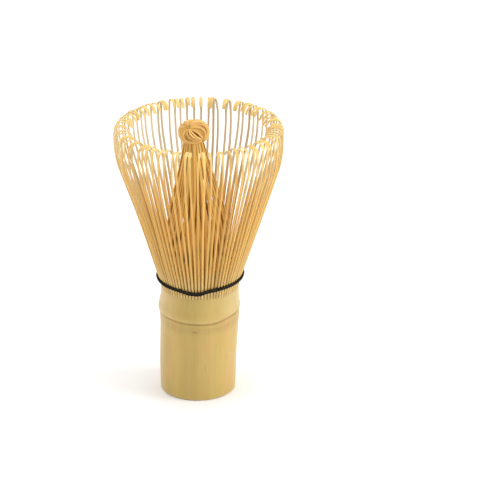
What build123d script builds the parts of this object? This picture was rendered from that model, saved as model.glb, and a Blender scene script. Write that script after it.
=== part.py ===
"""Bamboo tea whisk, in millimetres, +Z up, standing on its grip.

The grip is a bamboo culm with one node. Its underside is open as far as the node's septum, and
above the septum the culm is a cup whose rim is split into tines. Every second tine leans outward
and ends in an inward curl; these are the outer tines. The tines between them lean inward and end in
a wound knot; these are the inner tines. A black thread is twined between the two rows of tines just
above the ends of the slits.

An outer tine bends over its whole length. Here it turns about a line a little above the thread,
where a bending strip acts as if it were hinged, and below that line is its fixed root.

Origin: the centre of the grip's underside.
"""

import os
from math import asin, cos, degrees, exp, radians, sin, tan

from build123d import *

os.makedirs("parts", exist_ok=True)

# How the culm is split: each wide split holds the same number of outer and inner tines.
SPLITS = 16
TINES_PER_SPLIT = 5
TINES = SPLITS * TINES_PER_SPLIT
TINE_STEP = 360 / TINES
SPLIT_STEP = 360 / SPLITS

# Grip: outer radii from the base up, then the hollow on each side of the septum.
BASE_R = 13.15
BASE_EDGE = 0.6
GRIP_TOP_R = 13.75
NODE_Z = 29.7
RIDGE_R = 14.1
SCAR_R = 13.95
NODE_R = 14.5
WAIST_R = 13.75
SLIT_Z = 39.5
BORE_R = 8.8
SEPTUM_UNDER_Z = 27.0
SEPTUM_TOP_Z = 29.4
CUP_R = 9.6
CUP_TOP_Z = 34.5
RIM_INNER_R = 12.8

# Outer tines: a straight flare, a bend up to vertical, a short riser, then the curl: a tight
# shoulder, a flatter crest and a tight end.
FLARE_ANGLE = 17.9
RING_R = 29.6
RISER_Z = 94.5
RISER_LENGTH = 2.1
CURL_START_R = 2.5
CURL_START_ANGLE = 75
CREST_R = 5.5
CREST_ANGLE = 30
CURL_END_R = 2.6
CURL_END_ANGLE = 45
TIP_LENGTH = 1.2
OUTER_ROOT_THICK = 0.9
OUTER_TIP_THICK = 0.36
OUTER_ROOT_WIDTH = 0.62
OUTER_TIP_WIDTH = 0.46
HINGE_Z = 51.7
HINGE_GAP = 0.12

# Inner tines: the radius of each one's middle line at four heights, and its thickness there.
INNER_WIDTH = 0.31
INNER_BEND_Z = 42.0
INNER_BEND_R = 12.7
SHOULDER_Z = 66.0
SHOULDER_R = 10.2
NECK_Z = 92.6
NECK_R = 3.35
LAYER_STEP = 0.52
INNER_ROOT_THICK = 0.8
INNER_BEND_THICK = 0.55
INNER_TOP_THICK = 0.3
SHOULDER_ROUND = 60

# Knot of wound tips. The inner tines lean to it, a little off the whisk's axis.
KNOT_X = -1.4
KNOT_Y = 0.8
KNOT_R = 5.4
KNOT_TOP_Z = 100.4
KNOT_CROWN_R = 6.0
KNOT_CROWN_ANGLE = 45

# Binding thread, twined round the outer tines' roots. Angles are in degrees from the front tine.
FRONT_ANGLE = -90
THREAD_D = 0.45
THREAD_Z = 43.0
THREAD_DIP = 1.4
THREAD_DIP_SPREAD = 22
THREAD_PLAY = 0.02
THREAD_RISE = 0.24
THREAD_LEAD = 1.5
THREAD_FOLD_LEAD = 2.1
THREAD_ROUND = 0.3
THREAD_KNOT_ANGLE = -3.3
THREAD_KNOT_LENGTH = 2.4
THREAD_KNOT_D = 1.2
THREAD_KNOT_PLAY = 0.06

# Worked out from the above: where the straight flare ends and how tight the bend above it is.
FLARE_SLOPE = tan(radians(FLARE_ANGLE))
HALF_SLOPE = tan(radians(FLARE_ANGLE / 2))
BEND_Z = (RING_R - WAIST_R + FLARE_SLOPE * SLIT_Z - RISER_Z * HALF_SLOPE) / (FLARE_SLOPE - HALF_SLOPE)
BEND_R = (RISER_Z - BEND_Z) / sin(radians(FLARE_ANGLE))
APEX_Z = RISER_Z + RISER_LENGTH + CREST_R - (CREST_R - CURL_START_R) * sin(radians(CURL_START_ANGLE))


def flare_outside(z):
    """Radius of an outer tine's outside face on its straight stretch."""
    return WAIST_R + FLARE_SLOPE * (z - SLIT_Z)


def flare_inside(z):
    """Radius of its inside face there, which comes nearer as the tine thins."""
    share = (z - SLIT_Z) / (BEND_Z - SLIT_Z)
    thick = OUTER_ROOT_THICK + share * (OUTER_TIP_THICK / cos(radians(FLARE_ANGLE)) - OUTER_ROOT_THICK)
    return flare_outside(z) - thick


def outer_width(z):
    """Width of an outer tine at a height."""
    share = (z - SLIT_Z) / (APEX_Z - SLIT_Z)
    return OUTER_ROOT_WIDTH + share * (OUTER_TIP_WIDTH - OUTER_ROOT_WIDTH)


def save(part, name):
    """Labels a finished piece and writes its STEP file, whose name is the node's name."""
    part.label = name
    export_step(part, f"parts/{name}.step")


# Grip: one turned outline, from the septum's underside, round the wall, to the septum's top.
grip_corners = [
    ((BORE_R, SEPTUM_UNDER_Z), 2.0),
    ((BORE_R, 0), 0.5),
    ((BASE_R, 0), BASE_EDGE),
    ((GRIP_TOP_R, NODE_Z - 3.6), 6),
    ((RIDGE_R, NODE_Z - 1.7), 1.2),
    ((SCAR_R, NODE_Z), 0.3),
    ((NODE_R, NODE_Z + 0.4), 0.35),
    ((NODE_R, NODE_Z + 2.2), 4),
    ((WAIST_R, NODE_Z + 7.5), 9),
    ((WAIST_R, SLIT_Z), 0),
    ((RIM_INNER_R, SLIT_Z), 0),
    ((CUP_R, CUP_TOP_Z), 4),
    ((CUP_R, SEPTUM_TOP_Z), 2.0),
]
with BuildPart() as grip:
    with BuildSketch(Plane.XZ):
        with BuildLine():
            outline = FilletPolyline(
                (0, SEPTUM_UNDER_Z),
                *[corner for corner, _ in grip_corners],
                (0, SEPTUM_TOP_Z),
                radius=[rounding for _, rounding in grip_corners],
            )
            Line(outline @ 1, outline @ 0)
        make_face()
    revolve(axis=Axis.Z)
save(grip.part, "grip")

# Roots of the outer tines: straight strips from the slits' ends to just under the hinge line.
root_top = HINGE_Z - HINGE_GAP / 2
with BuildPart() as outer_root:
    with BuildSketch(Plane.XZ):
        with BuildLine():
            Polyline(
                (flare_inside(SLIT_Z), SLIT_Z),
                (flare_outside(SLIT_Z), SLIT_Z),
                (flare_outside(root_top), root_top),
                (flare_inside(root_top), root_top),
                close=True,
            )
        make_face()
    extrude(amount=OUTER_ROOT_WIDTH, both=True)
    with BuildSketch(Plane.YZ):
        with BuildLine():
            Polyline(
                (-outer_width(SLIT_Z) / 2, SLIT_Z),
                (outer_width(SLIT_Z) / 2, SLIT_Z),
                (outer_width(root_top) / 2, root_top),
                (-outer_width(root_top) / 2, root_top),
                close=True,
            )
        make_face()
    extrude(amount=RING_R, mode=Mode.INTERSECT)

with BuildPart() as outer_roots:
    with PolarLocations(0, TINES):
        add(outer_root.part)
save(outer_roots.part, "outer_tine_roots")

# One outer tine above the hinge line, in the plane y = 0.
tine_bottom = HINGE_Z + HINGE_GAP / 2
with BuildPart() as outer_tine:
    with BuildSketch(Plane.XZ):
        with BuildLine():
            flare = Line((flare_outside(tine_bottom), tine_bottom), (flare_outside(BEND_Z), BEND_Z))
            bend = JernArc(flare @ 1, flare % 1, BEND_R, FLARE_ANGLE)
            riser = Line(bend @ 1, bend @ 1 + (bend % 1) * RISER_LENGTH)
            curl_start = JernArc(riser @ 1, riser % 1, CURL_START_R, CURL_START_ANGLE)
            crest = JernArc(curl_start @ 1, curl_start % 1, CREST_R, CREST_ANGLE)
            curl_end = JernArc(crest @ 1, crest % 1, CURL_END_R, CURL_END_ANGLE)
            tip = Line(curl_end @ 1, curl_end @ 1 + (curl_end % 1) * TIP_LENGTH)
            across = (tip % 1).rotate(Axis.Z, 90) * OUTER_TIP_THICK
            Line(tip @ 1, tip @ 1 + across)
            tip_inside = Line(tip @ 1 + across, tip @ 0 + across)
            end_inside = JernArc(
                tip_inside @ 1, tip_inside % 1, CURL_END_R - OUTER_TIP_THICK, -CURL_END_ANGLE
            )
            crest_inside = JernArc(end_inside @ 1, end_inside % 1, CREST_R - OUTER_TIP_THICK, -CREST_ANGLE)
            start_inside = JernArc(
                crest_inside @ 1, crest_inside % 1, CURL_START_R - OUTER_TIP_THICK, -CURL_START_ANGLE
            )
            riser_inside = Line(start_inside @ 1, start_inside @ 1 + (start_inside % 1) * RISER_LENGTH)
            bend_inside = JernArc(
                riser_inside @ 1, riser_inside % 1, BEND_R - OUTER_TIP_THICK, -FLARE_ANGLE
            )
            Polyline(bend_inside @ 1, (flare_inside(tine_bottom), tine_bottom), flare @ 0)
        make_face()
    extrude(amount=OUTER_ROOT_WIDTH, both=True)
    with BuildSketch(Plane.YZ):
        with BuildLine():
            Polyline(
                (-outer_width(tine_bottom) / 2, tine_bottom),
                (outer_width(tine_bottom) / 2, tine_bottom),
                (outer_width(APEX_Z) / 2, APEX_Z + 1),
                (-outer_width(APEX_Z) / 2, APEX_Z + 1),
                close=True,
            )
        make_face()
    extrude(amount=RING_R, mode=Mode.INTERSECT)

# Outer tines, one node for each wide split of the culm.
for split_number in range(SPLITS):
    first_angle = split_number * SPLIT_STEP - (TINES_PER_SPLIT - 1) / 2 * TINE_STEP
    with BuildPart() as outer_tines:
        with PolarLocations(0, TINES_PER_SPLIT, first_angle, TINES_PER_SPLIT * TINE_STEP):
            add(outer_tine.part)
    save(outer_tines.part, f"outer_tines_{split_number + 1:02d}")


def inner_tine(angle, layer):
    """One inner tine, from the rim to the knot. Layer 0 is the outside of the bundle, 1 the inside.

    It lies in the upright plane through its root on the rim and its end at the knot's neck, and
    is drawn in that plane by its distance from the neck's end and its height.
    """
    rim_r = WAIST_R - OUTER_ROOT_THICK / 2
    neck_r = NECK_R - layer * LAYER_STEP
    root = Vector(rim_r * cos(angle), rim_r * sin(angle), 0)
    end = Vector(KNOT_X + neck_r * cos(angle), KNOT_Y + neck_r * sin(angle), 0)
    outward = (root - end).normalized()
    upright = Plane(origin=end, x_dir=outward, z_dir=outward.cross(Vector(0, 0, 1)))
    reach = (root - end).length / (rim_r - neck_r)
    middle = [
        (rim_r, SLIT_Z, INNER_ROOT_THICK),
        (INNER_BEND_R, INNER_BEND_Z, INNER_BEND_THICK),
        (SHOULDER_R, SHOULDER_Z, (INNER_BEND_THICK + INNER_TOP_THICK) / 2),
        (neck_r, NECK_Z, INNER_TOP_THICK),
    ]
    outside = [((r - neck_r) * reach + thick / 2, z) for r, z, thick in middle]
    inside = [((r - neck_r) * reach - thick / 2, z) for r, z, thick in middle]
    with BuildPart() as tine:
        with BuildSketch(upright):
            with BuildLine():
                outer_edge = FilletPolyline(*outside, radius=[3, SHOULDER_ROUND])
                inner_edge = FilletPolyline(*inside, radius=[3, SHOULDER_ROUND])
                Line(outer_edge @ 0, inner_edge @ 0)
                Line(outer_edge @ 1, inner_edge @ 1)
            make_face()
        extrude(amount=INNER_WIDTH / 2, both=True)
    return tine.part


# Inner tines, between the outer ones, again one node for each wide split.
for split_number in range(SPLITS):
    made = []
    for place in range(TINES_PER_SPLIT):
        number = split_number * TINES_PER_SPLIT + place
        turn = (number - (TINES_PER_SPLIT - 1) / 2 + 0.5) * TINE_STEP
        made.append(inner_tine(radians(turn), number % 2))
    with BuildPart() as inner_tines:
        add(made)
    save(inner_tines.part, f"inner_tines_{split_number + 1:02d}")

# Knot of the inner tines' wound tips: a flattened ball cut flat where the tines enter it.
crown_sine = sin(radians(KNOT_CROWN_ANGLE))
side_r = (KNOT_R - KNOT_CROWN_R * crown_sine) / (1 - crown_sine)
equator_z = KNOT_TOP_Z - KNOT_CROWN_R + (KNOT_CROWN_R - side_r) * cos(radians(KNOT_CROWN_ANGLE))
flat_angle = degrees(asin((equator_z - NECK_Z) / side_r))
with BuildPart() as knot:
    with BuildSketch(Plane((KNOT_X, KNOT_Y, 0), x_dir=(1, 0, 0), z_dir=(0, -1, 0))):
        with BuildLine():
            crown = CenterArc(
                (0, KNOT_TOP_Z - KNOT_CROWN_R), KNOT_CROWN_R, 90, -KNOT_CROWN_ANGLE
            )
            CenterArc(
                (KNOT_R - side_r, equator_z),
                side_r,
                -flat_angle,
                flat_angle + 90 - KNOT_CROWN_ANGLE,
            )
            flat_r = KNOT_R - side_r + side_r * cos(radians(flat_angle))
            Polyline((flat_r, NECK_Z), (0, NECK_Z), crown @ 0)
        make_face()
    revolve(axis=Axis((KNOT_X, KNOT_Y, 0), (0, 0, 1)))
save(knot.part, "wound_knot")


# Thread: folded round the front tine, both halves twined once round the whisk, ends in the knot.
def thread_height(angle):
    """Height of the thread's middle line. It dips on both sides of the front tine."""
    from_front = (angle + 180) % 360 - 180
    return THREAD_Z - THREAD_DIP * exp(-((from_front / THREAD_DIP_SPREAD) ** 2))


def thread_point(angle, side, rise):
    """A point of the thread's route against the outer tines' faces.

    angle is counted from the front tine, side is 1 outside the tines and -1 inside them, and rise
    is how far the point is above the thread's middle line.
    """
    z = thread_height(angle) + rise
    face_r = flare_outside(z) if side > 0 else flare_inside(z)
    r = face_r + side * (THREAD_D / 2 + THREAD_PLAY)
    direction = radians(FRONT_ANGLE + angle)
    return (r * cos(direction), r * sin(direction), z)


def thread_half(first_side):
    """Corners of one half of the thread: outside one tine, inside the next, and so on."""
    corners = []
    for tine_number in range(TINES):
        side = first_side * (-1) ** tine_number
        for lead in (-1, 1):
            angle = tine_number * TINE_STEP + lead * THREAD_LEAD
            corners.append(thread_point(angle, side, -side * lead * THREAD_RISE))
    return corners


def thread_knot_point(angle, rise):
    """A point inside the thread's knot, just outside the tines."""
    z = thread_height(THREAD_KNOT_ANGLE)
    r = flare_outside(z) + THREAD_KNOT_D / 2 + THREAD_KNOT_PLAY
    direction = radians(FRONT_ANGLE + angle)
    return (r * cos(direction), r * sin(direction), z + rise)


with BuildPart() as thread:
    with BuildLine() as route:
        FilletPolyline(
            thread_knot_point(THREAD_KNOT_ANGLE + THREAD_LEAD / 2, THREAD_RISE),
            *reversed(thread_half(1)[1:]),
            thread_point(-THREAD_FOLD_LEAD, 1, -THREAD_RISE),
            thread_point(-THREAD_FOLD_LEAD, -1, -THREAD_RISE),
            *thread_half(-1)[1:],
            thread_knot_point(THREAD_KNOT_ANGLE, -THREAD_RISE),
            radius=THREAD_ROUND,
        )
    with BuildSketch(Plane(origin=route.wire() @ 0, z_dir=route.wire() % 0)):
        Circle(THREAD_D / 2)
    sweep(path=route.wire())
save(thread.part, "binding_thread")

# The thread's knot, lying across the front of the tines.
thread_knot_centre = thread_knot_point(THREAD_KNOT_ANGLE, 0)
knot_direction = radians(FRONT_ANGLE + THREAD_KNOT_ANGLE)
along_thread = (-sin(knot_direction), cos(knot_direction), 0)
with BuildPart() as thread_knot:
    with BuildSketch(Plane(origin=thread_knot_centre, x_dir=along_thread, z_dir=(0, 0, 1))):
        Ellipse(THREAD_KNOT_LENGTH / 2, THREAD_KNOT_D / 2)
        Rectangle(
            THREAD_KNOT_LENGTH,
            THREAD_KNOT_D,
            align=(Align.CENTER, Align.MAX),
            mode=Mode.SUBTRACT,
        )
    revolve(axis=Axis(thread_knot_centre, along_thread))
save(thread_knot.part, "thread_knot")
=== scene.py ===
import math

import bpy
import numpy as np
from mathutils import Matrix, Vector


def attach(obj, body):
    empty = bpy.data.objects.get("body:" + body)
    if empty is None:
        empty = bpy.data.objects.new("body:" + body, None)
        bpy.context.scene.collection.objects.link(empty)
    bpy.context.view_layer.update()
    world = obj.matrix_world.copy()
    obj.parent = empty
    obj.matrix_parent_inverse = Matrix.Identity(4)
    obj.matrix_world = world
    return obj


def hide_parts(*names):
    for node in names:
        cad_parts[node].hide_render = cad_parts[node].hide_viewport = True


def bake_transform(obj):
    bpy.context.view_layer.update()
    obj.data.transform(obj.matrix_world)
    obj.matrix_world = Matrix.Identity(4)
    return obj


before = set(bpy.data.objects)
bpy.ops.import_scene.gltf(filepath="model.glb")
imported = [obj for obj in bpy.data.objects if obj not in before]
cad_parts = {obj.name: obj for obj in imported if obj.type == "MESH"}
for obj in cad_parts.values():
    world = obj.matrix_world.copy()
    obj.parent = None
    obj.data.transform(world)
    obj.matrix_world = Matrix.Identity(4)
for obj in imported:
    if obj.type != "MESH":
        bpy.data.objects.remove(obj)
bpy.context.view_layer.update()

# Lengths are written in millimetres and turned into metres when a mesh is made.
MM = 0.001
SEED = 80
rng = np.random.default_rng(SEED)

# The whisk's own sizes, the same as the solids'.
SPLITS = 16
PER_SPLIT = 5
TINES = SPLITS * PER_SPLIT
STEP = 2 * math.pi / TINES
SLIT_Z = 39.5
RIM_R = 13.75
FLARE = math.radians(17.9)
RISER_Z = 94.5
NECK_Z = 92.6
NECK_R = 3.35

# The wound knot's middle, a little further left and higher than the solid's.
KNOT_X, KNOT_Y, KNOT_Z = -1.8, 0.8, 96.75

# Turns round the whisk are counted from its right, so this is the one to its front.
FRONT = -math.pi / 2
UP = np.array([0, 0, 1.0])


def smooth(x, lo=0.0, hi=1.0):
    """A soft step from 0 at lo to 1 at hi."""
    t = np.clip((np.asarray(x, float) - lo) / (hi - lo), 0, 1)
    return t * t * (3 - 2 * t)


def bell(x, width):
    """A soft bump: 1 at 0, and small beyond width on both sides."""
    return np.exp(-((x / width) ** 2))


def table(x, pairs):
    """Reads a value at x from pairs of x and value, with straight lines between them."""
    return np.interp(x, *zip(*pairs))


def wrapped(angle):
    """The same direction as an angle between half a turn back and half a turn on."""
    return (angle + math.pi) % (2 * math.pi) - math.pi


def unit(v):
    """Vectors of length 1."""
    return v / np.maximum(np.linalg.norm(v, axis=-1, keepdims=True), 1e-12)


def outward(azimuth):
    """Level vectors of length 1 that point away from the axis, one for each azimuth."""
    return np.stack([np.cos(azimuth), np.sin(azimuth), 0 * azimuth], 1)


# ---------------------------------------------------------------- materials


class Nodes:
    """Short ways to write a material's node tree."""

    def __init__(self, name):
        self.material = bpy.data.materials.new(name)
        self.material.use_nodes = True
        self.tree = self.material.node_tree
        self.shader = self.tree.nodes["Principled BSDF"]

    def node(self, kind, **settings):
        """A new node with these settings."""
        made = self.tree.nodes.new(kind)
        for key, value in settings.items():
            setattr(made, key, value)
        return made

    def plug(self, socket, value):
        """Links a node's output to the socket, or sets the socket to a plain value."""
        if isinstance(value, bpy.types.NodeSocket):
            self.tree.links.new(value, socket)
        elif value is not None:
            socket.default_value = value

    def attribute(self, name, output="Fac"):
        """A number or vector that the mesh carries."""
        return self.node("ShaderNodeAttribute", attribute_name=name).outputs[output]

    def object_space(self):
        """The piece's own coordinates, in metres."""
        return self.node("ShaderNodeTexCoord").outputs["Object"]

    def scaled(self, vector, scale):
        """The vector, multiplied axis by axis."""
        made = self.node("ShaderNodeMapping")
        self.plug(made.inputs["Vector"], vector)
        made.inputs["Scale"].default_value = scale
        return made.outputs["Vector"]

    def noise(self, vector, detail=4.0, roughness=0.55, distortion=0.0):
        """Noise about 1 unit of the vector in size, around 0.5."""
        made = self.node("ShaderNodeTexNoise")
        self.plug(made.inputs["Vector"], vector)
        made.inputs["Scale"].default_value = 1
        made.inputs["Detail"].default_value = detail
        made.inputs["Roughness"].default_value = roughness
        made.inputs["Distortion"].default_value = distortion
        return made.outputs["Fac"]

    def ramp(self, value, stops):
        """A colour for the value, from pairs of place and colour."""
        made = self.node("ShaderNodeValToRGB")
        ramp = made.color_ramp
        while len(ramp.elements) < len(stops):
            ramp.elements.new(0.5)
        while len(ramp.elements) > len(stops):
            ramp.elements.remove(ramp.elements[-1])
        for element, (place, colour) in zip(ramp.elements, stops):
            element.position = place
            element.color = (*colour, 1)
        self.plug(made.inputs["Fac"], value)
        return made.outputs["Color"]

    def fit(self, value, lo, hi, out_lo=0.0, out_hi=1.0):
        """The value, moved from the range lo to hi into another one and held at its ends."""
        made = self.node("ShaderNodeMapRange")
        self.plug(made.inputs["Value"], value)
        for name, number in (("From Min", lo), ("From Max", hi), ("To Min", out_lo), ("To Max", out_hi)):
            made.inputs[name].default_value = number
        return made.outputs["Result"]

    def math(self, operation, a, b):
        made = self.node("ShaderNodeMath", operation=operation)
        self.plug(made.inputs[0], a)
        self.plug(made.inputs[1], b)
        return made.outputs[0]

    def mix(self, share, a, b, blend="MIX"):
        """Colour a with a share of colour b over it."""
        made = self.node("ShaderNodeMix", data_type="RGBA", blend_type=blend)
        self.plug(made.inputs[0], share)
        for socket, value in ((made.inputs[6], a), (made.inputs[7], b)):
            self.plug(socket, (*value, 1) if isinstance(value, tuple) else value)
        return made.outputs[2]

    def bump(self, height, distance_mm, strength, normal=None):
        """A normal from a height, on top of another normal if one is given."""
        made = self.node("ShaderNodeBump")
        made.inputs["Distance"].default_value = distance_mm * MM
        made.inputs["Strength"].default_value = strength
        self.plug(made.inputs["Height"], height)
        self.plug(made.inputs["Normal"], normal)
        return made.outputs["Normal"]

    def finish(self, colour, roughness, normal, **sockets):
        """Fills the shader's sockets, named with _ for a space, and gives the material."""
        self.plug(self.shader.inputs["Base Color"], colour)
        self.plug(self.shader.inputs["Roughness"], roughness)
        self.plug(self.shader.inputs["Normal"], normal)
        for name, value in sockets.items():
            self.shader.inputs[name.replace("_", " ")].default_value = value
        return self.material


def culm_skin():
    """The culm's polished outside: long streaks, warm patches, the scar line and the bud's mark, a paler
    foot and collar, and painted highlights on its sides.
    """
    n = Nodes("culm_skin")
    here = n.object_space()
    streaks = n.noise(n.scaled(here, (2600, 2600, 28)), detail=5, roughness=0.6)
    bands = n.noise(n.scaled(here, (330, 330, 7)), detail=3, roughness=0.5)
    patches = n.noise(n.scaled(here, (95, 95, 30)), detail=2, roughness=0.45, distortion=0.4)
    clouds = n.noise(n.scaled(here, (150, 150, 62)), detail=2, roughness=0.4, distortion=0.8)
    golds = [(0.30, (0.435, 0.300, 0.069)), (0.52, (0.487, 0.340, 0.084)), (0.74, (0.545, 0.382, 0.105))]
    colour = n.ramp(patches, golds)
    blush = n.fit(bands, 0.50, 0.72)
    colour = n.mix(n.math("MULTIPLY", blush, 0.30), colour, (0.560, 0.300, 0.085))
    pale = n.fit(bands, 0.44, 0.28)
    colour = n.mix(n.math("MULTIPLY", pale, 0.30), colour, (0.600, 0.450, 0.185))
    colour = n.mix(n.fit(clouds, 0.54, 0.70, 0.0, 0.42), colour, (0.600, 0.330, 0.110))
    colour = n.mix(n.fit(streaks, 0.36, 0.72, 0.0, 0.16), colour, (0.340, 0.210, 0.055))
    flecks = n.noise(n.scaled(here, (1700, 1700, 170)), detail=2, roughness=0.5)
    colour = n.mix(n.fit(flecks, 0.66, 0.74, 0.0, 0.35), colour, (0.270, 0.150, 0.045))
    colour = n.mix(n.attribute("stain"), colour, (0.215, 0.105, 0.030))
    # Paler colour at the foot and collar, and painted highlights on the culm's sides and down its left.
    colour = n.mix(n.attribute("blanch"), colour, (0.680, 0.530, 0.270))
    fine = n.noise(n.scaled(here, (5200, 5200, 60)), detail=3)
    normal = n.bump(fine, 0.020, 0.35)
    normal = n.bump(streaks, 0.030, 0.4, normal)
    roughness = n.fit(streaks, 0.3, 0.8, 0.36, 0.52)
    return n.finish(colour, roughness, normal, Coat_Weight=0.12, Coat_Roughness=0.25)


def culm_inside(name, tone, dots):
    """Cut or unpolished bamboo: the culm's inside wall, or its end with the vessels' dark dots."""
    n = Nodes(name)
    here = n.object_space()
    grain = n.noise(n.scaled(here, (900, 900, 900 if dots else 60)), detail=5, roughness=0.65)
    colour = n.ramp(grain, [(0.3, tuple(0.78 * c for c in tone)), (0.7, tone)])
    if dots:
        cells = n.node("ShaderNodeTexVoronoi", feature="F1")
        n.plug(cells.inputs["Vector"], n.scaled(here, (1, 1, 0.05)))
        cells.inputs["Scale"].default_value = 1900
        spot = n.fit(cells.outputs["Distance"], 0.30, 0.16)
        colour = n.mix(n.math("MULTIPLY", spot, 0.7), colour, (0.26, 0.14, 0.05))
    normal = n.bump(grain, 0.08, 0.6)
    return n.finish(colour, n.fit(grain, 0.3, 0.7, 0.62, 0.8), normal)


def tine_wood(name, stops, back_stops):
    """Split and shaved bamboo. Its colour runs along the tine, and its fibres run with it.

    The meshes carry: grain, millimetres across and along; along, 0 at the slit's end and 1 at the
    tip; tone, one number a tine; back, 1 on the face that looks to the whisk's axis.
    """
    n = Nodes(name)
    grain = n.attribute("grain", "Vector")
    tone = n.attribute("tone")
    fibres = n.noise(n.scaled(grain, (9.0, 0.16, 1.0)), detail=4, roughness=0.6)
    long_streaks = n.noise(n.scaled(grain, (2.2, 0.045, 1.0)), detail=2)
    colour = n.ramp(n.attribute("along"), stops)
    back = n.ramp(n.attribute("along"), back_stops)
    colour = n.mix(n.math("MULTIPLY", n.attribute("back"), 0.85), colour, back)
    darker = n.mix(1.0, colour, (0.66, 0.55, 0.44), "MULTIPLY")
    colour = n.mix(n.fit(fibres, 0.38, 0.74, 0.0, 0.42), colour, darker)
    lighter = n.mix(1.0, colour, (1.16, 1.12, 1.10), "MULTIPLY")
    colour = n.mix(n.fit(long_streaks, 0.45, 0.75, 0.0, 0.8), colour, lighter)
    tones = n.ramp(tone, [(0, (0.80, 0.76, 0.70)), (0.5, (1, 1, 1)), (1, (1.12, 1.14, 1.18))])
    toned = n.mix(1.0, colour, tones, "MULTIPLY")
    normal = n.bump(fibres, 0.012, 0.5)
    return n.finish(
        toned, n.fit(fibres, 0.3, 0.8, 0.45, 0.62), normal,
        Subsurface_Weight=0.35, Subsurface_Radius=(1.0, 0.62, 0.25), Subsurface_Scale=0.0007,
    )


def cotton_thread():
    """Black cotton, worn a little brown on its high places, with fine lint."""
    n = Nodes("black_cotton")
    grain = n.attribute("grain", "Vector")
    lint = n.noise(n.scaled(grain, (14.0, 5.0, 1.0)), detail=4, roughness=0.7)
    wear = n.noise(n.scaled(n.object_space(), (420, 420, 420)), detail=3)
    colour = n.ramp(lint, [(0.3, (0.008, 0.006, 0.004)), (0.75, (0.026, 0.020, 0.013))])
    colour = n.mix(n.fit(wear, 0.5, 0.75, 0.0, 0.3), colour, (0.050, 0.038, 0.022))
    normal = n.bump(lint, 0.03, 0.7)
    return n.finish(colour, n.fit(lint, 0.3, 0.8, 0.78, 0.95), normal, Specular_IOR_Level=0.2)


SKIN = culm_skin()
WALL = culm_inside("culm_wall", (0.60, 0.45, 0.22), False)
CUT = culm_inside("culm_end", (0.66, 0.50, 0.25), True)
OUTER_WOOD = tine_wood(
    "outer_tine_bamboo",
    [
        (0.00, (0.590, 0.425, 0.145)),
        (0.08, (0.615, 0.425, 0.142)),
        (0.20, (0.625, 0.395, 0.100)),
        (0.55, (0.665, 0.402, 0.086)),
        (0.74, (0.700, 0.440, 0.106)),
        (0.85, (0.750, 0.525, 0.160)),
        (1.00, (0.760, 0.535, 0.172)),
    ],
    [
        (0.00, (0.560, 0.345, 0.100)),
        (0.20, (0.760, 0.470, 0.125)),
        (0.42, (0.790, 0.510, 0.155)),
        (0.58, (0.700, 0.650, 0.490)),
    ],
)
INNER_WOOD = tine_wood(
    "inner_tine_bamboo",
    [
        # Darker toward the root: painted shade in the gaps between the outer tines' roots.
        (0.00, (0.400, 0.240, 0.060)),
        (0.10, (0.620, 0.325, 0.062)),
        (0.22, (0.720, 0.385, 0.078)),
        (0.60, (0.740, 0.400, 0.082)),
        (0.90, (0.850, 0.500, 0.118)),
        (1.00, (0.890, 0.540, 0.140)),
    ],
    [(0.0, (0.600, 0.320, 0.065))],
)
KNOT_WOOD = tine_wood(
    "wound_tip_bamboo",
    # Place 0 is painted shade: the lower layer's dark colour under the top layer.
    [(0.00, (0.360, 0.170, 0.035)), (0.30, (0.760, 0.455, 0.130)), (1.00, (0.780, 0.480, 0.150))],
    [(0.0, (0.400, 0.200, 0.040))],
)
THREAD = cotton_thread()


# ---------------------------------------------------------------- meshes


class Shape:
    """Collects points, faces and each point's numbers, then makes one mesh of them."""

    def __init__(self):
        self.points, self.faces, self.fields, self.slots = [], [], {}, []
        self.count = 0

    def add(self, points, faces, slots=0, **fields):
        """Adds a part. Its faces count from its own first point, and slots are their materials.

        Each field is a number or vector for every point, or one number for them all.
        """
        points = np.asarray(points, float)
        self.points.append(points)
        self.faces += [[i + self.count for i in face] for face in faces]
        self.slots += np.broadcast_to(slots, len(faces)).tolist()
        for name, values in fields.items():
            values = np.asarray(values, float)
            if values.ndim == 0:
                values = np.full(len(points), float(values))
            self.fields.setdefault(name, []).append(values)
        self.count += len(points)

    def make(self, name, materials, sharp_degrees=35):
        """Makes the object. Edges sharper than sharp_degrees are shaded as edges."""
        mesh = bpy.data.meshes.new(name)
        mesh.from_pydata((np.vstack(self.points) * MM).tolist(), [], self.faces)
        mesh.polygons.foreach_set("material_index", self.slots)
        for field, parts in self.fields.items():
            values = np.concatenate(parts)
            if values.ndim == 2:
                layer = mesh.attributes.new(field, "FLOAT_VECTOR", "POINT")
                layer.data.foreach_set("vector", values.astype(np.float32).ravel())
            else:
                layer = mesh.attributes.new(field, "FLOAT", "POINT")
                layer.data.foreach_set("value", values.astype(np.float32))
        for material in materials:
            mesh.materials.append(material)
        mesh.shade_smooth()
        mesh.set_sharp_from_angle(angle=math.radians(sharp_degrees))
        mesh.update()
        piece = bpy.data.objects.new(name, mesh)
        bpy.context.scene.collection.objects.link(piece)
        return piece


def tube_faces(rings, sides, closed=False):
    """Quads between rings of points, and a cap at each end unless the tube is closed on itself."""
    faces = []
    for k in range(rings if closed else rings - 1):
        a, b = k * sides, (k + 1) % rings * sides
        for i in range(sides):
            j = (i + 1) % sides
            faces.append([a + i, a + j, b + j, b + i])
    if not closed:
        faces.append(list(range(sides - 1, -1, -1)))
        faces.append([(rings - 1) * sides + i for i in range(sides)])
    return faces


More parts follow.
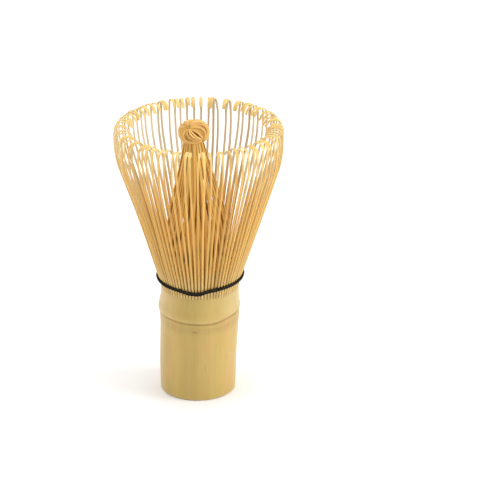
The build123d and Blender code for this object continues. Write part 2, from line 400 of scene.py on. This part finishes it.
def strip(shape, centres, across, out, width, thick, tone, along, grain_start, round_share=0.3, crown=0.0):
    """A long strip with eased edges. across and out are unit vectors at each centre.

    tone, along and grain_start tell the material how to colour it. round_share says how far its
    edges are eased, and crown how far the middle of its outer face is lifted.
    """
    width, thick = np.broadcast_to(width, len(centres)), np.broadcast_to(thick, len(centres))
    ease = round_share * np.minimum(width, thick)
    w, t = width / 2, thick / 2
    corners = [
        (-w + ease, t), (0 * w, t * (1 + crown)), (w - ease, t), (w, t - ease), (w, -t + ease),
        (w - ease, -t), (-w + ease, -t), (-w, -t + ease), (-w, t - ease),
    ]
    back = [0, 0, 0, 0, 1, 1, 1, 1, 0]
    run = np.concatenate([[0], np.cumsum(np.linalg.norm(np.diff(centres, axis=0), axis=1))])
    points = np.stack([centres + across * u[:, None] + out * v[:, None] for u, v in corners], 1)
    grain = np.stack(
        [np.stack([u + grain_start, run + 7 * grain_start, 0 * run + v], 1) for u, v in corners], 1
    )
    sides = len(corners)
    shape.add(
        points.reshape(-1, 3),
        tube_faces(len(centres), sides),
        grain=grain.reshape(-1, 3),
        tone=tone,
        along=np.repeat(along, sides),
        back=np.tile(back, len(centres)),
    )


def twisted(side, tangent, twist):
    """A strip's across and out vectors, turned about its own length by the angles in twist."""
    across = unit(side * np.cos(twist)[:, None] + np.cross(tangent, side) * np.sin(twist)[:, None])
    return across, unit(np.cross(tangent, across))


# The thread is laid up from so many plies.
PLIES = 3


def cord(shape, centres, radius, sides, twist_mm, ply_depth, closed=False):
    """A cord of plies: its section has one lobe for each ply, and the lobes turn along it."""
    tangent = unit(np.gradient(centres, axis=0))
    out = np.zeros_like(centres)
    out[0] = unit(np.cross(tangent[0], [0.3, 0.2, 1.0]))
    for k in range(1, len(centres)):
        step = out[k - 1] - tangent[k] * (out[k - 1] @ tangent[k])
        out[k] = step / np.linalg.norm(step)
    across = np.cross(tangent, out)
    run = np.concatenate([[0], np.cumsum(np.linalg.norm(np.diff(centres, axis=0), axis=1))])
    turn = np.linspace(0, 2 * math.pi, sides, endpoint=False)
    phase = 2 * math.pi * run[:, None] / twist_mm
    lobes = 1 - ply_depth + ply_depth * np.abs(np.cos(PLIES / 2 * (turn - phase)))
    r = np.broadcast_to(radius, len(centres))[:, None] * lobes
    points = (
        centres[:, None, :]
        + across[:, None, :] * (r * np.cos(turn))[:, :, None]
        + out[:, None, :] * (r * np.sin(turn))[:, :, None]
    )
    grain = np.stack([np.broadcast_to(turn * 0.3, r.shape), np.repeat(run[:, None], sides, 1), r], 2)
    shape.add(points.reshape(-1, 3), tube_faces(len(centres), sides, closed), grain=grain.reshape(-1, 3))


# ---------------------------------------------------------------- the grip

# The culm's outside from its foot to the slits, by height and radius: a slight taper, a low ridge,
# the scar line and the node's overhang.
CULM_OUTSIDE = [
    (0, 13.3), (5, 13.45), (12, 13.6), (20, 13.75), (24.5, 13.85), (27, 13.98), (28.4, 14.12),
    (29.2, 14.1), (29.7, 14.0), (29.95, 13.92), (30.15, 13.95), (30.35, 14.2), (30.6, 14.38),
    (31.0, 14.5), (31.8, 14.54), (32.8, 14.42), (34, 14.15), (36, 13.9), (38, 13.78), (39.5, 13.75),
]
# The rounded edge of its foot, the cup above the septum and the bore below it, by radius and height.
FOOT_EDGE = [(12.45, 0.0), (12.75, 0.03), (12.98, 0.16), (13.11, 0.36)]
CUP = [
    (12.8, SLIT_Z), (12.4, 38.9), (11.6, 37.7), (10.8, 36.4), (10.1, 35.2), (9.75, 34.2), (9.6, 33.0),
    (9.55, 31.6), (9.3, 30.6), (8.6, 29.8), (7.2, 29.45), (5.0, 29.38), (2.5, 29.34), (0.02, 29.3),
]
BORE = [
    (0.02, 27.1), (2.5, 27.05), (5.0, 26.95), (6.8, 26.7), (8.0, 26.1), (8.6, 25.2), (8.8, 24.0),
    (8.82, 20.0), (8.8, 15.0), (8.78, 10.0), (8.8, 5.0), (8.82, 1.2), (8.95, 0.35), (9.3, 0.0),
    (10.2, 0.0), (11.4, 0.0),
]
CULM_COLUMNS = 480

# The scar line at the node, and how much higher it sits on the right.
SCAR_Z = 30.05
SCAR_RISE = 1.05

# The bud's mark under the node, a little left of the front.
BUD_ANGLE = -0.11
BUD_Z = 27.1
BUD_CULM_R = 14.0

# How far the culm's foot, and the collar above its node, stand to the left.
FOOT_LEFT = 0.90
COLLAR_LEFT = 0.28
COLLAR_Z = 33


def waves(turn, counts, sizes):
    """Uneven waves round the culm: so many to the turn, of such a size, each with its own start."""
    starts = rng.uniform(0, 6, len(counts))
    return sum(size * np.sin(count * turn + start) for count, size, start in zip(counts, sizes, starts))


def culm_outside():
    """The outside's radii and heights, closest together at the node, with its corners softened."""
    heights = np.concatenate([
        np.arange(0.6, 24, 0.6), np.arange(24, 28.6, 0.2), np.arange(28.6, 31.0, 0.06),
        np.arange(31.0, 34, 0.2), np.arange(34, SLIT_Z, 0.4), [SLIT_Z],
    ])
    radii = table(heights, CULM_OUTSIDE)
    softened = np.convolve(np.pad(radii, 2, "edge"), [0.1, 0.22, 0.36, 0.22, 0.1], "valid")
    return FOOT_EDGE + list(zip(softened, heights))


def bud_spot(turn, z, wide, high, below=0.0):
    """A soft spot at the bud's mark, or so far below it."""
    across = (wrapped(turn - FRONT) - BUD_ANGLE) * BUD_CULM_R
    return bell(across, wide) * bell(z - BUD_Z + below, high)


def culm_points(r, z, turn, is_outside):
    """The culm's points: the turned outline made uneven, with the node tilted and the foot leaning."""
    tilt = 0.16 * np.sin(2 * turn + 0.9) + 0.10 * np.sin(3 * turn + 2.1) + 0.05 * np.sin(7 * turn)
    tilt = tilt + SCAR_RISE * smooth(np.cos(turn), 0.1, 1.0)
    shape_z = z + bell(z - SCAR_Z, 2.2) * is_outside * tilt
    ripple = waves(turn, (9, 14, 23, 37), (0.016, 0.014, 0.010, 0.007))
    low = smooth(z, 36, 20)
    outside_r = r + 0.05 * np.sin(2 * turn + 0.4) * low + ripple * (0.4 + low)
    outside_r = outside_r + 0.14 * bud_spot(turn, z, 0.72, 0.26) - 0.10 * bud_spot(turn, z, 0.9, 0.2, 0.42)
    rough = 0.10 * np.sin(5 * turn + 0.35 * z) * np.sin(0.6 * z + 2 * turn) + 0.05 * np.sin(31 * turn + z)
    is_even = (r < 9.4) & (z > 27) | (z < 0.01) | (z > 39)
    inside_r = np.where(is_even, r, r + rough * smooth(r, 0.5, 6))
    shape_r = np.where(is_outside, outside_r, inside_r)
    left = FOOT_LEFT * smooth(z, 36, 6) + COLLAR_LEFT * bell(z - COLLAR_Z, 3)
    return np.stack([shape_r * np.cos(turn) - left, shape_r * np.sin(turn), shape_z], 2)


def culm_marks(z, turn):
    """How stained the skin is, by the scar line, the zone under it and the bud, and how pale: paler at the
    foot and the collar, with painted highlights on the sides above the node, more on the right, and a
    painted highlight strip down the left side.
    """
    edge = waves(turn, (3, 11, 29, 53), (0.25, 0.2, 0.2, 0.15))
    angle = wrapped(turn - FRONT)
    line = bell(z - SCAR_Z, 0.34 + 0.06 * edge) * (0.66 + 0.25 * edge)
    zone = 0.24 * bell(z - 28.0, 0.95) * (0.8 + 0.5 * edge)
    low_zone = 0.10 * bell(z - 26.6, 0.7) * smooth(np.abs(angle), 2.2, 0.6)
    stain = np.clip(line + zone + low_zone + 0.75 * bud_spot(turn, z, 0.72, 0.26), 0, 0.92)
    foot_and_collar = 0.55 * smooth(z, 1.2, 0.1) + 0.14 * bell(z - 31.2, 0.7)
    # Painted highlights: the sides above the node are paler, more on the right, with a pale strip down the
    # left side.
    sides = 0.20 * smooth(np.abs(angle), 0.35, 1.0) + 0.10 * smooth(angle, 0.35, 1.0)
    left_painted_highlight = 0.22 * smooth(-angle, 0.9, 1.15) * smooth(angle, -1.9, -1.5)
    blanch = np.clip(foot_and_collar + sides * smooth(z, 30.8, 32.5) + left_painted_highlight, 0, 1)
    return stain, blanch


def build_grip():
    """The culm: outside, cut end, both hollows and the septum between them."""
    outside = culm_outside()
    profile = np.array(outside + CUP + BORE)
    rows, columns = len(profile), CULM_COLUMNS
    turn = np.linspace(0, 2 * math.pi, columns, endpoint=False)
    r, z = (column[:, None] + 0 * turn for column in profile.T)
    is_outside = (np.arange(rows) < len(outside))[:, None]
    points = culm_points(r, z, turn, is_outside)
    stain, blanch = (mark * is_outside for mark in culm_marks(z, turn))
    skin, wall, cut = range(3)
    row_slots = [skin] * (len(outside) - 1) + [wall] * (rows - len(outside) - 1) + [cut] * 2
    faces, slots = [], []
    bore_start = len(outside) + len(CUP)
    for k in range(rows):
        if k == bore_start - 1:
            continue
        a, b = k * columns, (k + 1) % rows * columns
        for i in range(columns):
            j = (i + 1) % columns
            faces.append([a + i, a + j, b + j, b + i])
        slots += [row_slots[k]] * columns
    cup_floor = [(bore_start - 1) * columns + i for i in range(columns)]
    bore_roof = [bore_start * columns + i for i in range(columns)]
    faces += [cup_floor, bore_roof[::-1]]
    slots += [wall, wall]
    shape = Shape()
    shape.add(points.reshape(-1, 3), faces, slots, stain=stain.ravel(), blanch=blanch.ravel())
    piece = shape.make("grip_culm", [SKIN, WALL, CUT], 50)
    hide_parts("grip")
    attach(piece, "handle")


# ---------------------------------------------------------------- the outer tines

# The wide bend below the ring, and a tine's thickness at its root and in its curl.
BEND_R = 37.7
TINE_DEPTH_ROOT, TINE_DEPTH_TOP = 0.9, 0.34

# An outer tine leaves the culm nearly upright for a short way. Above the ring it rises a little and
# curls in over a tight shoulder, a flatter crest and a tight end, given by radius and degrees.
ROOT_RUN, ROOT_LEAN = 2.4, math.radians(6)
RISER_LENGTH = 2.35
CURL = [(2.3, 75), (4.2, 30), (2.2, 45)]
LINE_STEP = 0.02
# The curls' distance from the whisk's axis, and the ring's place in the colours along a tine.
CURL_AXIS_R = 27
RING_ALONG = 0.84

# Its thickness and width, by the share of the way from the slit's end to the ring. Past 1 is the curl.
OUTER_DEPTH = [(0, TINE_DEPTH_ROOT), (0.3, 0.82), (0.6, 0.70), (0.85, 0.54), (1.0, TINE_DEPTH_TOP)]
OUTER_WIDTH = [
    (0, 0.75), (0.04, 0.75), (0.12, 0.84), (0.3, 0.94), (0.45, 0.94), (0.7, 0.84), (0.97, 0.76),
    (1.05, 0.99), (1.2, 1.05),
]
# How far any tine's edges are eased: hardly where it leaves the culm, and fully a little higher.
EDGE_EASE = [(0, 0.08), (0.05, 0.10), (0.12, 0.30)]

# Where an outer split's bend would start and end: radius, and the two heights. No bend is made.
BLEND_R = 17.3
BLEND_Z = (43.6, 60.5)


def outer_line(flare, bow, curl, tip_length, drop):
    """An outer tine's outside face in its upright plane: stations r, z, lean and distance run.

    bow moves its middle outward, curl is the curl's size and drop makes the riser shorter. Also
    gives the distance run at the ring, where the riser starts.
    """
    straight = (RISER_Z - SLIT_Z - BEND_R * math.sin(flare)) / math.cos(flare)
    ring_run = straight + BEND_R * flare
    riser = RISER_LENGTH - drop + 2.4 * (1 - curl)
    runs = [0, ROOT_RUN, straight, ring_run, ring_run + riser]
    leans = [ROOT_LEAN, flare, flare, 0.0, 0.0]
    for radius, degrees in CURL:
        runs.append(runs[-1] + radius * curl * math.radians(degrees))
        leans.append(leans[-1] - math.radians(degrees))
    runs.append(runs[-1] + tip_length)
    leans.append(leans[-1])
    fine = np.arange(0, runs[-1] + LINE_STEP, LINE_STEP)
    lean = np.interp(fine, runs, leans)
    r = RIM_R + np.concatenate([[0], np.cumsum(np.sin(lean[:-1]) * LINE_STEP)])
    z = SLIT_Z + np.concatenate([[0], np.cumsum(np.cos(lean[:-1]) * LINE_STEP)])
    r = r + bow * np.sin(math.pi * np.clip(fine / ring_run, 0, 1)) ** 2
    marks = np.concatenate([
        np.linspace(0, 6, 11), np.linspace(7, straight, 22), np.linspace(straight, ring_run, 10)[1:],
        np.linspace(ring_run, runs[-1], 34)[1:],
    ])
    stations = [np.interp(marks, fine, values) for values in (r, z, lean)]
    return *stations, marks, ring_run


def groups(sizes, shares=None):
    """The tines' numbers in small groups of these sizes, mixed by shares or evenly."""
    first = 0
    while first < TINES:
        size = int(rng.choice(sizes, p=shares))
        yield np.arange(first, min(first + size, TINES))
        first += size


def outer_gather():
    """How far each outer tine strays sideways at the ring, in steps, and how its curl leans."""
    stray, lean = np.zeros(TINES), np.zeros(TINES)
    for members in groups([1, 2, 3], [0.22, 0.53, 0.25]):
        middle = members.mean() + rng.normal(0, 0.10)
        stray[members] = (middle - members) * rng.uniform(0.0, 0.20)
        lean[members] = (middle - members) * rng.uniform(0.02, 0.12)
    stray += rng.normal(0, 0.09, TINES)
    lean += rng.normal(0, 0.045, TINES)
    return stray, lean


def add_outer_tine(shape, number, stray, curl_lean):
    """One outer tine, with its own flare, bow, curl, width, twist and tone."""
    turn = (number - (PER_SPLIT - 1) / 2) * STEP
    right, front = math.cos(turn), -math.sin(turn)
    r, z, lean, run, ring_run = outer_line(
        flare=FLARE + math.radians(rng.normal(0.15, 0.12)),
        bow=rng.normal(0, 0.12) - 0.55 * max(0.0, -right),
        curl=rng.uniform(0.90, 1.10),
        tip_length=rng.uniform(0.8, 1.8),
        drop=rng.normal(0, 0.08) - 0.35 * (1 - front),
    )
    share = run / ring_run
    past_ring = np.maximum(run - ring_run, 0)
    sway = rng.normal(0, 0.10) * np.sin(np.clip(share, 0, 1) * math.pi)
    azimuth = turn + (stray * np.minimum(share, 1.15) ** 1.4 + sway) * STEP
    azimuth = azimuth + curl_lean * past_ring / CURL_AXIS_R
    depth = table(share, OUTER_DEPTH)
    girth = 1 + 0.12 * max(0.0, right) - 0.17 * max(0.0, front) ** 2
    width = table(share, OUTER_WIDTH)
    width = width * (rng.uniform(0.92, 1.06) * girth) ** smooth(share, 0.06, 0.25)
    width = width * rng.uniform(0.85, 1.2) ** smooth(share, 0.95, 1.05)
    normal_r, normal_z = np.cos(lean), -np.sin(lean)
    radial = outward(azimuth)
    centres = radial * (r - normal_r * depth / 2)[:, None]
    centres[:, 2] = z - normal_z * depth / 2
    tangent = unit(np.gradient(centres, axis=0))
    normal = radial * normal_r[:, None]
    normal[:, 2] = normal_z
    twist = math.radians(rng.normal(0, 9)) * smooth(share, 0.2, 1.0)
    across, out = twisted(unit(np.cross(normal, tangent)), tangent, twist)
    strip(
        shape, centres, across, out, width, depth,
        tone=np.clip(rng.normal(0.5, 0.2), 0, 1),
        along=np.clip(share * RING_ALONG, 0, 1),
        grain_start=number * 3.7, round_share=table(share, EDGE_EASE),
    )


def build_outer_tines():
    """Each outer split as one piece from the slits to the curls."""
    stray, curl_lean = outer_gather()
    for split in range(SPLITS):
        shape = Shape()
        for number in range(split * PER_SPLIT, (split + 1) * PER_SPLIT):
            add_outer_tine(shape, number, stray[number], curl_lean[number])
        piece = shape.make(f"outer_tines_split_{split + 1:02d}", [OUTER_WOOD])
        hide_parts(f"outer_tines_{split + 1:02d}", "outer_tine_roots")
        middle = split * PER_SPLIT * STEP
        x, y = BLEND_R * math.cos(middle), BLEND_R * math.sin(middle)
        ends = [(x * MM, y * MM, z * MM) for z in BLEND_Z]
        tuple(ends[0])
        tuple(ends[1])
        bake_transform(piece)


# ---------------------------------------------------------------- the inner tines

# The bundle's middle line from the rim to the neck, by height and radius.
BUNDLE_ROOT_R = 13.3
BUNDLE = [
    (SLIT_Z, BUNDLE_ROOT_R), (40.6, 13.05), (42.2, 12.70), (48, 12.15), (54, 11.5), (60, 10.85),
    (66, 9.95), (74, 8.05), (82, 5.95), (88, 4.45), (NECK_Z, NECK_R), (95, 3.0),
]
# An inner tine's width, by the share of the way from the slit's end to the neck.
INNER_WIDTH = [(0, 0.31), (0.03, 0.33), (0.08, 0.68), (0.2, 0.88), (0.6, 0.82), (1, 0.44)]

# The bundle's two layers, outside and inside: degrees each turns up to the neck, and how deep it is.
LAYER_TURN = (16, -4)
LAYER_DEPTH = 0.62


def bundle_line():
    """Heights of the inner tines' stations, and the bundle's radius at each with no corners."""
    heights = np.concatenate([
        np.linspace(SLIT_Z, 45, 10), np.linspace(46.5, 88, 24), np.linspace(89, 94.2, 7),
    ])
    fine = np.linspace(SLIT_Z, 95, 400)
    window = np.hanning(19)
    soft = np.convolve(np.pad(table(fine, BUNDLE), 8, "edge"), window[1:-1] / window.sum(), "valid")
    return heights, np.interp(heights, fine, soft)


def inner_gather():
    """How far each inner tine strays sideways toward the middle of its small group, in steps."""
    gather = np.zeros(TINES)
    for members in groups([2, 3, 4]):
        gather[members] = (members.mean() - members) * rng.uniform(0.08, 0.36)
    return gather


def add_inner_tine(shape, number, heights, bundle_r, gather):
    """One inner tine, with its own turn, depth in the bundle, bow, twist and tone."""
    layer = number % 2
    turn = (number - (PER_SPLIT - 1) / 2 + 0.5) * STEP
    up = (heights - SLIT_Z) / (NECK_Z - SLIT_Z)
    swirl = math.radians(rng.normal(LAYER_TURN[layer], 3.8)) * smooth(up, 0.05, 1.0)
    azimuth = turn + gather * STEP * smooth(up, 0.1, 0.8) * 1.6 + swirl
    inset = (LAYER_DEPTH * layer + rng.uniform(-0.28, 0.28)) * smooth(up, 0.15, 0.9)
    bow = rng.normal(0, 0.32) * np.sin(math.pi * np.clip(up, 0, 1)) ** 2
    to_knot = 1 - (bundle_r - NECK_R) / (BUNDLE_ROOT_R - NECK_R)
    radial = outward(azimuth)
    centres = radial * (bundle_r - inset + bow)[:, None] + to_knot[:, None] * (KNOT_X, KNOT_Y, 0)
    centres[:, 2] = heights
    tangent = unit(np.gradient(centres, axis=0))
    twist = math.radians(rng.normal(0, 12)) * smooth(up, 0.2, 0.9)
    across, out = twisted(unit(np.cross(radial, tangent)), tangent, twist)
    strip(
        shape, centres, across, out,
        width=table(up, INNER_WIDTH),
        thick=0.8 - 0.32 * smooth(up, 0, 0.12) - 0.16 * smooth(up, 0.1, 0.9),
        tone=np.clip(rng.normal(0.45, 0.22), 0, 1),
        along=np.clip(up, 0, 1),
        grain_start=number * 5.3, round_share=table(up, EDGE_EASE),
    )


def build_inner_tines():
    """The inner bundle: leaning in from the rim, crossing a little, and gathered at the neck."""
    heights, bundle_r = bundle_line()
    gather = inner_gather()
    for split in range(SPLITS):
        shape = Shape()
        for number in range(split * PER_SPLIT, (split + 1) * PER_SPLIT):
            add_inner_tine(shape, number, heights, bundle_r, gather[number])
        piece = shape.make(f"inner_tines_split_{split + 1:02d}", [INNER_WOOD])
        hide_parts(f"inner_tines_{split + 1:02d}")
        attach(piece, "handle")


# ---------------------------------------------------------------- the wound knot

# The ball's half sizes, and a strand's width and thickness.
KNOT_HALF = np.array([5.25, 5.2, 3.95])
STRAND_WIDTH, STRAND_THICK = 0.72, 0.60

# Its two layers. Each one's strands run from one direction to another, so far apart, with an opening
# left between them in radians. Then how much lower the layer lies, and its place in the colours, where
# the lower layer's 0 is painted shade under the top layer.
PINCH, FOOT = unit(np.array([-0.28, -0.72, 0.63])), unit(np.array([0.60, -0.74, -0.32]))
UNDER_TOP, UNDER_FOOT = unit(np.array([0.2, 0.5, 0.9])), unit(np.array([-0.6, -0.3, -0.8]))
KNOT_LAYERS = [
    (PINCH, FOOT, 0.150, 0.11, 0.0, 0.7),
    (UNDER_TOP, UNDER_FOOT, 0.135, 0.0, -0.62, 0.0),
]


def wound_lines(start, end, spacing, opening):
    """Lines over the unit ball, all from start to end, evenly spaced halfway between them.

    Each is the circle through both points in one plane. opening is left free beside the middle line.
    """
    chord = np.linalg.norm(start - end) / 2
    reach = math.sqrt(1 - chord**2)
    middle, along = unit(start + end), unit(start - end)
    beside = np.cross(middle, along)
    count = int(round((2 * math.pi - opening) / spacing))
    for even in opening / 2 + (2 * math.pi - opening) * (np.arange(count) + 0.5) / count:
        angle = even + rng.normal(0, 0.15) * spacing
        lean = math.atan2(math.sin(angle), math.cos(angle) - reach)
        away = math.cos(lean) * middle + math.sin(lean) * beside
        centre = reach * middle - reach * math.cos(lean) * away
        radius = math.sqrt(1 - centre @ centre)
        turn = math.atan2(chord, reach * math.cos(lean))
        place = np.linspace(turn, -turn, 64)[:, None]
        yield centre + radius * (np.cos(place) * away + np.sin(place) * along)


def build_knot():
    """The inner tines' tips wound into a ball over a first layer wound the other way."""
    shape = Shape()
    number = 0
    for start, end, spacing, opening, depth, colour_and_shade_place in KNOT_LAYERS:
        for line in wound_lines(start, end, spacing, opening):
            number += 1
            run = np.linspace(0, 1, len(line))
            dive = (0.7 + 0.4 * (number % 2)) * (smooth(run, 0.10, 0.0) + 0.8 * smooth(run, 0.90, 1.0))
            rise_start, sway_start = rng.uniform(0, 6, 2)
            lift = depth + rng.uniform(-0.20, 0.20) + 0.08 * np.sin(7 * run + rise_start) - dive
            normal = unit(line / KNOT_HALF)
            centres = np.array([KNOT_X, KNOT_Y, KNOT_Z]) + line * KNOT_HALF + normal * lift[:, None]
            tangent = unit(np.gradient(centres, axis=0))
            across = unit(np.cross(normal, tangent))
            sway = 0.09 * np.sin(5 * run + sway_start) * np.sin(math.pi * run)
            girth = rng.uniform(0.85, 1.12) * (0.66 + 0.34 * np.sin(math.pi * run) ** 0.5)
            strip(
                shape, centres + across * sway[:, None], across, unit(np.cross(tangent, across)),
                width=STRAND_WIDTH * girth,
                thick=STRAND_THICK,
                tone=np.clip(rng.normal(0.45, 0.30), 0, 1),
                # The lower layer's place in the colours paints it dark, as shade under the top layer.
                along=np.full(len(line), colour_and_shade_place),
                grain_start=number * 2.9, round_share=0.46, crown=0.14,
            )
    piece = shape.make("wound_knot_tips", [KNOT_WOOD], 60)
    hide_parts("wound_knot")
    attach(piece, "handle")


# ---------------------------------------------------------------- the thread

# The thread's middle line and its dip near the front. All its angles are counted from the front.
THREAD_Z, THREAD_DIP, THREAD_SPREAD = 43.2, 1.2, math.radians(24)
THREAD_DIP_ANGLE = -math.radians(5)
THREAD_R = 0.31
THREAD_TWIST = 1.1
FOLD_ANGLE = -math.radians(2.2)
THREAD_KNOT_ANGLE = -math.radians(3.0)

# Strands laid over the front: first and last angle in degrees, how far below the thread's middle
# line, and how far out from the tines.
LAID_STRANDS = [(-84, 92, 0.46, 0.42), (-30, 27, -0.36, 0.62)]


def round_whisk(r, angle, z):
    """The point at a radius, an angle from the front and a height."""
    return r * math.cos(FRONT + angle), r * math.sin(FRONT + angle), z


def face_radius(z, side):
    """Radius near the roots of the outer tines' outside face, side 1, or inside face, side -1."""
    r = RIM_R - 0.25 + math.tan(FLARE) * (z - SLIT_Z)
    return r if side > 0 else r - TINE_DEPTH_ROOT + 0.02


def thread_height(angle):
    """It dips a little left of the front, and sits higher on the right."""
    from_front = wrapped(angle)
    dip = THREAD_DIP * bell(from_front - THREAD_DIP_ANGLE, THREAD_SPREAD)
    rise = 0.55 * smooth(from_front, 0.0, 0.24) + 0.35 * smooth(from_front, 0.8, 1.3)
    return THREAD_Z - dip + float(rise * smooth(math.pi - from_front, 0.0, 1.2))


def thread_points(first_side):
    """One round: past each outer tine on the side opposite to its neighbours'."""
    points = []
    for number in range(TINES):
        side = first_side * (-1) ** number
        for lead in (-1, 0, 1):
            angle = number * STEP + lead * math.radians(1.5)
            z = thread_height(angle) - side * lead * 0.25
            bulge = 0.06 if lead == 0 else 0.0
            r = face_radius(z, side) + side * (THREAD_R + bulge)
            points.append(round_whisk(r, angle, z))
    return points


def smooth_line(points, spacing):
    """A Catmull-Rom curve through the points, at about even spacing."""
    p = np.asarray(points, float)
    p = np.vstack([2 * p[0] - p[1], p, 2 * p[-1] - p[-2]])
    made = []
    for k in range(1, len(p) - 2):
        a, b, c, d = p[k - 1 : k + 3]
        steps = max(2, int(round(np.linalg.norm(c - b) / spacing)))
        t = np.linspace(0, 1, steps, endpoint=False)[:, None]
        square, cube = 2 * a - 5 * b + 4 * c - d, 3 * b - a - 3 * c + d
        made.append(0.5 * (2 * b + (c - a) * t + square * t**2 + cube * t**3))
    return np.vstack([*made, p[-2][None]])


def laid_strand(first, last, below, forward):
    """A strand laid over the front of the thread, with its ends tucked in between the tines."""
    middle, reach = (first + last) / 2, (last - first) / 2
    points = []
    for angle in np.radians(np.linspace(first, last, 120)):
        tuck = float(smooth(abs(math.degrees(angle) - middle), reach - 5, reach))
        z = thread_height(angle) - below + 0.08 * math.sin(9 * angle)
        r = face_radius(z, 1) + forward - 1.2 * tuck + 0.05 * math.sin(80 * angle)
        points.append(round_whisk(r, angle, z + 0.3 * tuck))
    return smooth_line(points, 0.1)


def thread_knot_place():
    """The middle of the thread's knot."""
    z = thread_height(0) - 0.05
    return np.array(round_whisk(face_radius(z, 1) + 0.62, THREAD_KNOT_ANGLE, z))


def build_thread():
    """The thread, twined from its knot round to a fold and back, and the strands laid over it."""
    shape = Shape()
    for laid in LAID_STRANDS:
        cord(shape, laid_strand(*laid), THREAD_R * 1.08, 14, THREAD_TWIST, 0.20)
    z = thread_height(FOLD_ANGLE) - 0.25
    fold = [round_whisk(face_radius(z, side) + side * THREAD_R, FOLD_ANGLE, z) for side in (1, -1)]
    knot_at = thread_knot_place()
    ends = [knot_at + (0.12, 0.25, 0.2), knot_at + (-0.1, 0.2, -0.15)]
    route = [ends[0], *thread_points(1)[1:][::-1], *fold, *thread_points(-1)[1:], ends[1]]
    cord(shape, smooth_line(route, 0.07), THREAD_R * 1.12, 14, THREAD_TWIST, 0.20)
    piece = shape.make("binding_thread_twined", [THREAD], 60)
    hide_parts("binding_thread")
    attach(piece, "handle")


def build_thread_knot():
    """The knot that ties the thread: a trefoil pulled tight, and two short tails."""
    shape = Shape()
    knot_at = thread_knot_place()
    away = np.array(round_whisk(1, THREAD_KNOT_ANGLE, 0))
    tangent = np.cross(UP, away)
    t = np.linspace(0, 2 * math.pi, 90, endpoint=False)
    trefoil = (
        tangent * ((np.sin(t) + 2 * np.sin(2 * t)) * 0.27)[:, None]
        + UP * ((np.cos(t) - 2 * np.cos(2 * t)) * 0.15)[:, None]
        + away * (-np.sin(3 * t) * 0.17)[:, None]
    )
    cord(shape, knot_at + trefoil, 0.24, 14, 0.9, 0.18, closed=True)
    for sign, drop in ((1, -0.55), (-1, -0.35)):
        tail = smooth_line([
            knot_at + tangent * 0.3 * sign,
            knot_at + tangent * 0.95 * sign + away * 0.12 + UP * 0.4 * drop,
            knot_at + tangent * 1.45 * sign + away * 0.02 + UP * drop,
        ], 0.08)
        cord(shape, tail, np.linspace(0.23, 0.19, len(tail)), 12, 0.9, 0.20)
    piece = shape.make("thread_knot_tied", [THREAD], 60)
    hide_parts("thread_knot")
    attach(piece, "handle")


build_grip()
build_outer_tines()
build_inner_tines()
build_knot()
build_thread()
build_thread_knot()

# ---------------------------------------------------------------- floor, light and camera


FLOOR_HALF = 4.0
FLOOR_WHITE = (0.93, 0.93, 0.93, 1)

floor_mesh = bpy.data.meshes.new("floor")
floor_corners = [(FLOOR_HALF * x, FLOOR_HALF * y, 0) for x, y in ((-1, -1), (1, -1), (1, 1), (-1, 1))]
floor_mesh.from_pydata(floor_corners, [], [[0, 1, 2, 3]])
floor_mesh.materials.append(Nodes("floor_white").finish(FLOOR_WHITE, 0.9, None))
floor = bpy.data.objects.new("floor", floor_mesh)
bpy.context.scene.collection.objects.link(floor)

world = bpy.data.worlds.new("studio")
bpy.context.scene.world = world
world.use_nodes = True
background = world.node_tree.nodes["Background"].inputs
background["Color"].default_value = (1, 1, 1, 1)
background["Strength"].default_value = 0.72


def softbox(name, place, target, size, power):
    """A round area light, aimed at a point of the whisk's axis."""
    light = bpy.data.lights.new(name, "AREA")
    light.shape = "DISK"
    light.size = size
    light.energy = power
    lamp = bpy.data.objects.new(name, light)
    lamp.location = place
    lamp.rotation_euler = (Vector(target) - Vector(place)).to_track_quat("-Z", "Y").to_euler()
    bpy.context.scene.collection.objects.link(lamp)


softbox("overhead", (0.05, 0.15, 1.5), (0, 0, 0.05), 1.5, 12)
softbox("right", (1.20, -0.25, 0.50), (0, 0, 0.06), 0.8, 9.8)
softbox("left", (-1.15, -0.25, 0.50), (0, 0, 0.06), 0.8, 3.2)

camera = bpy.data.objects.new("camera", bpy.data.cameras.new("camera"))
ELEVATION = math.radians(22.9)
DISTANCE = 0.981
AIM = Vector((0.0177, 0, 0.05265))
camera.location = AIM + DISTANCE * Vector((0, -math.cos(ELEVATION), math.sin(ELEVATION)))
camera.rotation_euler = (AIM - camera.location).to_track_quat("-Z", "Y").to_euler()
camera.data.sensor_width = 36
camera.data.lens = 200.6
camera.data.clip_end = 20
bpy.context.scene.collection.objects.link(camera)
bpy.context.scene.camera = camera
bpy.context.scene.view_settings.view_transform = "Standard"
